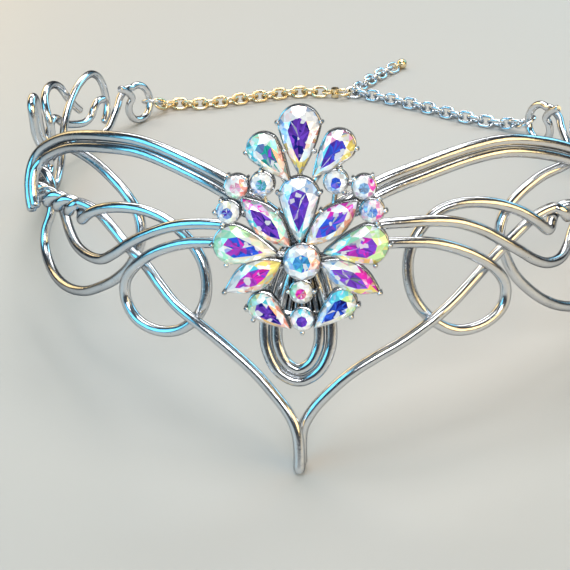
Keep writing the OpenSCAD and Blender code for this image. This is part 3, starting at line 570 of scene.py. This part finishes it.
# each stone: outline, across, height, half width, length ahead, degrees of its long axis, then
# its tints: two of the table, and of the crown above, at the right, below and at the left
stoneRows = {
    "pear_top": ("pear", 0.1, 66.8, 3.67, 8.7, -90, "navy violet white coral yellow sky"),
    "pear_upper_left": ("pear", -6.5, 62.7, 2.88, 7.3, -51, "teal violet mint coral cream cyan"),
    "pear_upper_right": ("pear", 7.2, 63.2, 2.88, 7.3, -130, "indigo blue pink yellow white cyan"),
    "pear_middle": ("pear", -0.1, 54.0, 3.55, 8.5, -90, "indigo violet sky white cyan white"),
    "pear_left": ("pear", -12.3, 45.2, 3.62, 8.0, -11, "blue magenta lime cream cream mint"),
    "pear_right": ("pear", 12.4, 45.1, 3.62, 8.2, -170, "violet magenta mint lime yellow cyan"),
    "pear_lower_left": ("pear", -7.2, 33.6, 2.6, 6.6, -39, "navy violet cyan coral orange mint"),
    "pear_lower_right": ("pear", 7.6, 34.2, 2.6, 6.9, -139, "blue navy cyan lime cream sky"),
    "navette_upper_left": (
        "navette", -6.2, 49.3, 2.6, 6.1, -46, "violet navy magenta mint coral cyan"),
    "navette_upper_right": (
        "navette", 5.8, 49.2, 2.6, 6.1, -140, "blue violet magenta coral orange white"),
    "navette_lower_left": (
        "navette", -8.7, 39.3, 2.6, 5.8, 28, "magenta violet cyan yellow coral white"),
    "navette_lower_right": (
        "navette", 9.0, 39.2, 2.6, 5.9, 152, "violet grey white magenta yellow sky"),
    "round_centre": ("round", 0.3, 42.0, 3.3, 3.3, 0, "cyan blue white coral white sky"),
    "round_left_high": ("round", -6.8, 56.4, 2.1, 2.1, 0, "sky teal white white sky white"),
    "round_left_mid": ("round", -11.5, 55.9, 2.1, 2.1, 0, "pink white white coral mint white"),
    "round_left_low": ("round", -13.1, 51.3, 2.1, 2.1, 0, "indigo sky cream white white sky"),
    "round_right_high": ("round", 6.6, 56.7, 2.1, 2.1, 0, "blue violet white white sky white"),
    "round_right_mid": ("round", 11.7, 55.7, 2.1, 2.1, 0, "sky grey white magenta white white"),
    "round_right_low": ("round", 13.1, 51.4, 2.1, 2.1, 0, "sky blue white magenta white sky"),
    "round_lower_high": ("round", 0.1, 36.4, 2.1, 2.1, 0, "magenta coral white cream white mint"),
    "round_lower_low": ("round", 0.2, 31.2, 2.1, 2.1, 0, "indigo violet cyan white white white"),
}
stoneOrder = list(stoneRows)
# sizes as shares of the outline, of the stone's length or of the crown; the girdle and dip in mm
cut = {
    "corners": 16, "tableLong": 0.64, "tableWide": 0.54, "roundTable": 0.5, "inner": 0.5,
    "starShare": 0.8, "starRise": 0.62, "girdle": 0.12, "dip": 0.1, "innerDip": 0.04,
    "back": 0.42, "pearMiddle": 0.22, "pearCurve": 1.4, "pearCorners": 9, "navetteCurve": 2,
}
flankShares = {"pear": (0.85, 0.62, 0.36), "navette": (0.8, 0.55, 0.28, 0, -0.28, -0.55, -0.8)}


def arcOf(half, angles):
    return [(half * math.cos(a), half * math.sin(a)) for a in angles]


def outlineOf(kind, half, ahead):
    if kind == "round":
        return arcOf(half, np.arange(cut["corners"]) * math.tau / cut["corners"])
    back = [(-ahead, 0)]
    if kind == "pear":
        back = arcOf(half, np.linspace(math.pi / 2, 1.5 * math.pi, cut["pearCorners"]))
    curve = cut[kind + "Curve"]
    flank = [(share * ahead, half * (1 - share**curve)) for share in flankShares[kind]]
    return [(ahead, 0)] + flank + back + [(x, -y) for x, y in flank[::-1]]


def middleOf(row):
    return cut["pearMiddle"] * row[4] if row[0] == "pear" else 0


def turnedPlace(row, x, y):
    angle = math.radians(row[5])
    return (
        row[1] + x * math.cos(angle) - y * math.sin(angle),
        row[2] + x * math.sin(angle) + y * math.cos(angle),
    )


def stoneForm(row):
    middle = np.array([middleOf(row), 0])
    edge = np.array(outlineOf(row[0], row[3], row[4]))
    count = len(edge)
    table = np.array([cut["tableLong"], cut["tableWide"]])
    if row[0] == "round":
        table = np.array([cut["roundTable"]] * 2)

    def ring(share, out, picks):
        return [(*(middle + (edge[i] - middle) * share), out) for i in picks]

    whole, mains, halves = range(count), range(0, count, 2), range(1, count, 2)
    rings = {
        "heart": [(*middle, tableAt - cut["dip"])],
        "inner": ring(table * cut["inner"], tableAt - cut["innerDip"], halves),
        "table": ring(table, tableAt, mains),
        "star": ring(cut["starShare"], girdleAt + rosette["crown"] * cut["starRise"], halves),
        "girdle": ring(1, girdleAt + cut["girdle"] / 2, whole),
        "under": ring(1, girdleAt - cut["girdle"] / 2, whole),
        "back": ring(cut["back"], backAt, whole),
    }
    start, verts = {}, []
    for ringName, places in rings.items():
        start[ringName] = len(verts)
        verts += [onRosette(*turnedPlace(row, x, y), out) for x, y, out in places]

    def at(ringName, index):
        return start[ringName] + index % len(rings[ringName])

    faces, parts = [], []
    for i in range(len(mains)):
        heart = start["heart"]
        near, far = at("table", i), at("table", i + 1)
        inner, lastInner = at("inner", i), at("inner", i - 1)
        star, lastStar = at("star", i), at("star", i - 1)
        tip, side, nextTip = (at("girdle", 2 * i + j) for j in range(3))
        faces += [(heart, lastInner, near), (heart, near, inner), (near, far, inner)]
        faces += [(near, star, far), (near, lastStar, tip, star)]
        faces += [(star, tip, side), (star, side, nextTip)]
        parts += ["table"] * 3 + ["crown"] * 2 + ["edge"] * 2
    for j in range(count):
        upper, nextUpper = at("girdle", j), at("girdle", j + 1)
        under, nextUnder = at("under", j), at("under", j + 1)
        back, nextBack = at("back", j), at("back", j + 1)
        faces += [(upper, under, nextUnder, nextUpper), (under, back, nextBack, nextUnder)]
        parts += ["back"] * 2
    faces.append(tuple(at("back", j) for j in range(count))[::-1])
    parts.append("back")
    return np.array(verts), faces, parts


# what a facet draws: degrees off its own side, chances of its tints, and how light it comes out
facet = {
    "seed": 7, "turn": 20, "first": 0.7, "glintTable": 0.93, "whiteCrown": 0.30,
    "table": (0.6, 1.3), "crown": (0.8, 1.1), "edge": (0.5, 1.1), "back": 0.6,
}


def facetTints(part, tableTints, strong, beside, draw):
    white = np.array(tints["white"])
    chance = draw.random()
    if part == "table":
        colour, echo = tableTints if chance < facet["first"] else tableTints[::-1]
        # now and then a table facet is painted white: a painted glint
        if chance > facet["glintTable"]:
            colour = white
    elif part == "crown":
        isWhite = chance < facet["whiteCrown"]
        colour, echo = (white, strong) if isWhite else (strong, (white + beside) / 2)
    elif part == "edge":
        colour, echo = (strong if chance < facet["first"] else white), beside
    else:
        return white * facet["back"], strong * facet["back"]
    shade = draw.uniform(*facet[part])
    return colour * shade, echo * shade


def tintStone(mesh, parts, row, heart, draw):
    colours = [np.array(tints[word]) for word in row[6].split()]
    tableTints, crownTints = colours[:2], colours[2:]
    layers = [
        mesh.color_attributes.new(key, "FLOAT_COLOR", "CORNER")
        for key in ("facetTint", "facetEcho")
    ]
    for polygon, part in zip(mesh.polygons, parts):
        way = np.array(polygon.center) / mm - heart
        angle = math.degrees(math.atan2(way[2], way[0]))
        angle += draw.uniform(-facet["turn"], facet["turn"])
        quarter = int((135 - angle) // 90) % 4  # above, right, below, left
        strong, beside = crownTints[quarter], crownTints[(quarter + draw.choice((1, 3))) % 4]
        shown = facetTints(part, tableTints, strong, beside, draw)
        for layer, colour in zip(layers, shown):
            for corner in polygon.loop_indices:
                layer.data[corner].color = (*np.clip(colour, 0, 1), 1)


def cutStone(name, draw):
    row = stoneRows[name]
    verts, faces, parts = stoneForm(row)
    pieceName = name.replace("_", "") + "Cut"
    piece = makePiece(pieceName, (verts, faces), crystal, [name], smooth=False)
    tintStone(piece.data, parts, row, verts[0], draw)


draw = random.Random(facet["seed"])
for name in stoneRows:
    cutStone(name, draw)
print("stones cut")

# the setting: a cup round each stone, bars from cup to cup, claws over the girdles, a fluted fan
setting = {
    "barRadius": 0.5, "barOut": 0.55, "barSteps": 4, "clawRadius": 0.33, "beadRadius": 0.46,
    "cupSteps": 3, "sides": 8,
}
# each claw: number of the stone, direction, distance from the stone's place
clawRows = [
    (0, 10, 4.08), (0, 170, 4.08), (0, -121.4, 5.3), (0, -59, 5.25), (1, 190, 3.28),
    (2, -10, 3.28), (3, 12, 3.98), (3, 168, 3.98), (4, 120, 4.05), (4, 180, 4.05), (4, 250, 4.05),
    (5, 60, 4.05), (5, 0, 4.05), (5, -70, 4.05), (6, 185, 3.02), (6, 235, 3.02), (7, -5, 3.02),
    (7, -55, 3.02), (8, 44, 3.05), (9, 130, 3.05), (10, 208, 6.25), (11, -28, 6.35),
    (13, 95, 2.52), (13, 230, 2.52), (14, 40, 2.52), (14, 125, 2.52), (15, 120, 2.52),
    (15, 180, 2.52), (15, 245, 2.52), (16, 70, 2.52), (16, -50, 2.52), (17, 140, 2.52),
    (17, 55, 2.52), (18, 60, 2.52), (18, 0, 2.52), (18, -65, 2.52), (19, 175, 2.52), (19, 5, 2.52),
    (20, 270, 2.52)
]
# pairs of stones whose cups a bar joins
ribRows = [
    (0, 3), (1, 3), (2, 3), (3, 12), (4, 12), (5, 12), (8, 12), (9, 12), (10, 12), (11, 12),
    (12, 19), (19, 20), (6, 20), (7, 20), (13, 8), (14, 13), (15, 8), (16, 9), (17, 16), (18, 9)
]
# a cup's wall: mm outside the stone's outline, and out from the rosette's seat
cupProfile = [
    (-0.75, 0.0), (0.1, 0.0), (0.28, 0.35), (0.2, 1.3), (0.26, 2.35), (0.2, 2.6), (0.06, 2.65),
    (0.02, 2.3), (-0.25, 1.2), (-0.75, 1.0)
]


def cupForm(row):
    outline = outlineOf(row[0], row[3], row[4])
    edge = rounded(outline + outline[:1], setting["cupSteps"])[:-1]
    ahead = np.roll(edge, -1, 0) - np.roll(edge, 1, 0)
    normals = np.array([unit(np.array([way[1], -way[0]])) for way in ahead])
    verts = []
    for off, out in cupProfile:
        verts += [
            onRosette(*turnedPlace(row, *(place + off * normal)), rosette["seat"] + out)
            for place, normal in zip(edge, normals)
        ]
    count, layers, faces = len(edge), len(cupProfile), []
    for i in range(layers):
        near, far = i * count, (i + 1) % layers * count
        for j in range(count):
            k = (j + 1) % count
            faces.append((near + j, near + k, far + k, far + j))
    return np.array(verts), faces


# up a claw: mm outward, mm out from the wall, share of its radius
clawRoute = [
    (0.12, rosette["seat"] + 0.35, 0.9), (0.16, girdleAt - 0.9, 1.0), (0.12, girdleAt - 0.1, 1.05),
    (0.0, girdleAt + 0.35, 1.1), (-0.16, girdleAt + 0.6, 1.1)
]


def clawForm(stone, direction, distance):
    row = stoneRows[stoneOrder[stone]]
    angle = math.radians(direction)
    points = np.array([
        onRosette(
            row[1] + (distance + off) * math.cos(angle),
            row[2] + (distance + off) * math.sin(angle), out,
        )
        for off, out, share in clawRoute
    ])
    radii = [setting["clawRadius"] * share for off, out, share in clawRoute]
    shank = sweep(points, radii, setting["sides"], rosetteSide)
    return joined([shank, ball(points[-1], setting["beadRadius"])])


def barForm(first, second):
    rows = [stoneRows[stoneOrder[number]] for number in (first, second)]
    out = rosette["seat"] + setting["barOut"]
    places = [onRosette(*turnedPlace(row, middleOf(row), 0), out) for row in rows]
    points = np.linspace(*places, setting["barSteps"])
    return sweep(points, setting["barRadius"], setting["sides"], rosetteOut)


# behind the small stones under the middle one: a fluted fan of silver, dark in its grooves and
# darkest towards its top
fan = {
    "top": 40.2, "foot": 32.4, "topHalf": 2.3, "footHalf": 4.5, "middle": 0.3, "out": 1.7,
    "deep": 0.4, "topDeep": 0.3, "ripple": 0.12, "rippleDown": 9, "rippleAcross": 4,
    "sag": 0.9, "lift": 0.5, "thick": 0.5, "rows": 9, "flutes": 7, "steps": 6,
    "black": 1.25, "blackTop": 0.35, "blackDown": 0.75,
    "rimRadius": 0.36, "rimSteps": 5, "rimBulge": 0.1, "rimBack": 0.5,
}


def fanForm():
    columns = fan["flutes"] * fan["steps"] + 1
    verts, grooves = [], []
    for thick in (0, fan["thick"]):
        for i in range(fan["rows"]):
            down = i / (fan["rows"] - 1)
            height = fan["top"] + (fan["foot"] - fan["top"]) * down
            half = fan["topHalf"] + (fan["footHalf"] - fan["topHalf"]) * down
            deep = fan["deep"] * (fan["topDeep"] + (1 - fan["topDeep"]) * down)
            for j in range(columns):
                across = 2 * j / (columns - 1) - 1
                ridge = abs(math.sin(math.pi * fan["flutes"] * j / (columns - 1)))
                wave = math.sin(fan["rippleDown"] * down + fan["rippleAcross"] * across)
                sag = fan["sag"] * across**2 * down
                out = fan["out"] + deep * ridge + fan["ripple"] * wave * down - sag - thick
                verts.append(onRosette(
                    fan["middle"] + across * half, height + fan["lift"] * sag,
                    rosette["seat"] + out,
                ))
                # darker in the grooves and towards the top, the ridges lighter further down
                bright = ridge * (fan["blackTop"] + fan["blackDown"] * down)
                grooves.append(min(1, fan["black"] - bright))
    layer = fan["rows"] * columns
    faces = []
    for i in range(fan["rows"] - 1):
        for j in range(columns - 1):
            a = i * columns + j
            faces.append((a, a + 1, a + columns + 1, a + columns))
            faces.append((layer + a, layer + a + columns, layer + a + columns + 1, layer + a + 1))
    rim = list(range(columns))
    rim += [i * columns + columns - 1 for i in range(1, fan["rows"])]
    rim += [layer - 1 - i for i in range(1, columns)]
    rim += [i * columns for i in range(fan["rows"] - 2, 0, -1)]
    for a, b in zip(rim, rim[1:] + rim[:1]):
        faces.append((a, layer + a, layer + b, b))
    return (np.array(verts), faces), grooves


def fanRim(hand):
    halfway = (fan["topHalf"] + fan["footHalf"]) / 2 + fan["rimBulge"]
    points = rounded([
        onRosette(
            fan["middle"] + hand * half, fan["top"] + (fan["foot"] - fan["top"]) * down,
            rosette["seat"] + fan["out"] - fan["rimBack"] * down,
        )
        for down, half in ((0, fan["topHalf"]), (0.5, halfway), (1, fan["footHalf"]))
    ], fan["rimSteps"])
    return sweep(points, fan["rimRadius"], setting["sides"], rosetteSide)


settingForms = [cupForm(row) for row in stoneRows.values()]
settingForms += [clawForm(*row) for row in clawRows]
settingForms += [barForm(*pair) for pair in ribRows]
settingForms += [fanRim(-1), fanRim(1)]
fanShape, fanGrooves = fanForm()
settingForm = joined(settingForms + [fanShape])
settingPiece = makePiece(
    "rosetteSetting", settingForm, silverMetal, ["setting"], crease=40)
# the fan's points come last in the piece
grooveDepth = np.zeros(len(settingPiece.data.vertices))
grooveDepth[-len(fanGrooves):] = fanGrooves
settingPiece.data.attributes.new("groove", "FLOAT", "POINT").data.foreach_set("value", grooveDepth)
print("setting built")

# the chain: oval links along the rows, from the clasp outward (across, back, height from the tip)
link = {
    "long": 5.7, "wide": 4.3, "wire": 1.0, "lean": 45, "play": 0.2, "endPlay": 0.4, "lift": 0.03,
    "sides": 12, "arcSteps": 11, "pathSteps": 4,
}
jumpWire = 0.9
tailLoopWire = 0.6
linkReach = (link["long"] - link["wire"]) / 2
linkRoom = link["long"] - 2 * link["wire"] - link["play"]
linkArc = (link["wide"] - link["wire"]) / 2
linkRest = linkArc * math.sin(math.radians(link["lean"])) + link["wire"] / 2 + link["lift"]
chainLeftRows = [
    (-2.75, 191.32, linkRest), (-6.2, 191.7, linkRest), (-10.5, 191.9, linkRest),
    (-17, 190.7, linkRest), (-24, 188.6, linkRest), (-31, 186.2, linkRest),
    (-37.5, 183.8, linkRest), (-44, 182.6, linkRest), (-50, 182.9, linkRest), (-53.6, 181.6, 2),
    (-56.17, 179.48, 3.2)
]
chainRightRows = [
    (6.85, 190.85, linkRest), (9.1, 189.7, linkRest), (14.5, 186.7, linkRest),
    (20.8, 183, linkRest), (27.3, 178.7, linkRest), (33.9, 174, linkRest), (40.1, 169.8, linkRest),
    (46.5, 166.2, linkRest), (52, 163.6, 1.95), (55.9, 160.6, 3.27)
]
tailRows = [
    (5.83, 190.78, 2.9), (6.9, 192.9, 2.26), (8.4, 196, 1.95), (9.95, 199.1, 1.85),
    (12.9, 204.3, 1.75), (16.3, 209.3, linkRest), (19.6, 213.3, linkRest)
]
# degrees that the links lean, one after the other
sideLeans = [-link["lean"], link["lean"]]
tailLeans = [90, 20, -55, 40, -45, 45, -45, 45]


def linkForm(place, way, lean):
    way = unit(way)
    tilt = -math.asin(way[2])
    heading = math.atan2(way[1], way[0])
    turned = Matrix.Rotation(heading, 3, "Z") @ Matrix.Rotation(tilt, 3, "Y")
    turned = np.array(turned @ Matrix.Rotation(math.radians(lean), 3, "X"))
    straight = (link["long"] - link["wide"]) / 2
    spine = [
        (end * (straight + linkArc * math.cos(a)), end * linkArc * math.sin(a), 0)
        for end in (1, -1)
        for a in np.linspace(-math.pi / 2, math.pi / 2, link["arcSteps"])
    ]
    points = np.array(spine) @ turned.T + place
    return sweep(points, link["wire"] / 2, link["sides"], turned[:, 2], closed=True)


def chainForms(rows, leans, endWire):
    path = rounded(rows, link["pathSteps"])
    run = np.concatenate([[0], np.cumsum(np.linalg.norm(np.diff(path, axis=0), axis=1))])

    def along(s):
        return np.array([np.interp(s, run, path[:, axis]) for axis in range(3)])

    hold = linkReach - link["wire"] / 2 - endWire / 2 - link["endPlay"]
    span = run[-1] - linkReach - hold
    count = math.ceil(span / linkRoom)
    forms = []
    for i in range(count + 1):
        s = linkReach + i * span / count
        way = along(s + 1) - along(s - 1)
        forms.append(linkForm(along(s) + tipPlace, way, leans[i % len(leans)]))
    return forms


# the clasp's place, its turn on the floor, and the hooked link's place along and beside it
clasp = {"place": (2.5, 190.85, 1.7), "yaw": -5, "hookedX": 3.25, "hookedY": 0.2}


def hookedForm():
    yaw = math.radians(clasp["yaw"])
    way = np.array([math.cos(yaw), math.sin(yaw), 0])
    beside = np.array([-math.sin(yaw), math.cos(yaw), 0])
    place = np.array(clasp["place"]) + clasp["hookedX"] * way + clasp["hookedY"] * beside
    place[2] = linkRest
    return linkForm(place + tipPlace, way, link["lean"])


def linkedChain(name, forms, metal):
    makePiece(name.replace("_", "") + "Links", joined(forms), metal, [name])


# the left chain and the clasp take a gold base colour that is painted warm light; the right
# chain's blue tint is a painted cool reflection
linkedChain("chain_left", chainForms(chainLeftRows, sideLeans, jumpWire), warmPaintedMetal)
rightForms = chainForms(chainRightRows, sideLeans, jumpWire)
rightForms.append(hookedForm())
rightForms += chainForms(tailRows, tailLeans, tailLoopWire)
linkedChain("chain_right", rightForms, coolPaintedChainMetal)

endMetals = {
    "jump_ring_left": silverMetal, "jump_ring_right": silverMetal,
    "clasp_body": warmPaintedMetal, "clasp_lever": warmPaintedMetal, "end_bead": warmPaintedMetal,
}
for name, metal in endMetals.items():
    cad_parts[name].data.materials.clear()
    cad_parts[name].data.materials.append(metal)
print("chain linked")

# studio: a plain pale floor, soft lights, and the camera where the photo was taken
studio = {
    "floor": (0.52, 0.505, 0.48, 1), "floorRoughness": 0.55, "floorHalf": 2500,
    "world": (0.30, 0.36, 0.46, 1), "worldStrength": 0.10, "aim": (0, -20, 25),
    "cameraPlace": (12.2, -298.47, 153.9), "look": (-0.0704, 0.8594, -0.5063),
    "roll": 2.435, "lens": 78.95, "sensor": 36,
}
# each light: name, place in mm, size across and deep in mm, watts, colour
lightRows = [
    ("topSoftbox", (-40, 60, 780), (560, 420), 3.6, (1.0, 0.99, 0.97)),
    ("backSoftbox", (-20, 420, 360), (560, 160), 1.3, (1.0, 0.98, 0.95)),
    ("frontSoftbox", (60, -560, 420), (300, 160), 1.5, (1.0, 1.0, 1.0)),
    ("coolCard", (-430, -300, 270), (460, 380), 1.2, (0.16, 0.68, 1.0)),
    ("warmCard", (440, -280, 240), (460, 300), 1.25, (1.0, 0.73, 0.35)),
    ("backWarmCard", (-330, 330, 160), (300, 220), 0.6, (1.0, 0.72, 0.34)),
    ("backCoolCard", (330, 330, 200), (300, 220), 0.6, (0.30, 0.75, 1.0))
]


def addFloor():
    half = studio["floorHalf"]
    mesh = bpy.data.meshes.new("floor")
    corners = [(-half, -half, 0), (half, -half, 0), (half, half, 0), (-half, half, 0)]
    mesh.from_pydata((np.array(corners) * mm).tolist(), [], [(0, 1, 2, 3)])
    paint = Paint("floorPaint")
    shader = paint.node("ShaderNodeBsdfPrincipled", {}, {
        "Base Color": studio["floor"], "Roughness": studio["floorRoughness"],
    })
    mesh.materials.append(paint.close(shader))
    floor = bpy.data.objects.new("floor", mesh)
    bpy.context.scene.collection.objects.link(floor)


def addLight(name, place, size, watts, colour):
    light = bpy.data.lights.new(name, "AREA")
    light.shape = "RECTANGLE"
    light.size, light.size_y = size[0] * mm, size[1] * mm
    light.energy = watts
    light.color = colour
    lamp = bpy.data.objects.new(name, light)
    lamp.location = Vector(place) * mm
    aim = Vector(studio["aim"]) * mm - lamp.location
    lamp.rotation_euler = aim.to_track_quat("-Z", "Y").to_euler()
    bpy.context.scene.collection.objects.link(lamp)


def addCamera():
    data = bpy.data.cameras.new("camera")
    data.lens = studio["lens"]
    data.sensor_width = studio["sensor"]
    camera = bpy.data.objects.new("camera", data)
    ahead = Vector(studio["look"]).normalized()
    right = ahead.cross(Vector((0, 0, 1))).normalized()
    up = right.cross(ahead)
    roll = math.radians(studio["roll"])
    rolledRight = right * math.cos(roll) - up * math.sin(roll)
    rolledUp = up * math.cos(roll) + right * math.sin(roll)
    turn = Matrix((rolledRight, rolledUp, -ahead)).transposed().to_4x4()
    camera.matrix_world = Matrix.Translation(Vector(studio["cameraPlace"]) * mm) @ turn
    bpy.context.scene.collection.objects.link(camera)
    bpy.context.scene.camera = camera


world = bpy.data.worlds.new("studioWorld")
world.use_nodes = True
background = world.node_tree.nodes["Background"]
background.inputs["Color"].default_value = studio["world"]
background.inputs["Strength"].default_value = studio["worldStrength"]
bpy.context.scene.world = world
bpy.context.scene.view_settings.view_transform = "Standard"
addFloor()
for row in lightRows:
    addLight(*row)
addCamera()
print("studio set")
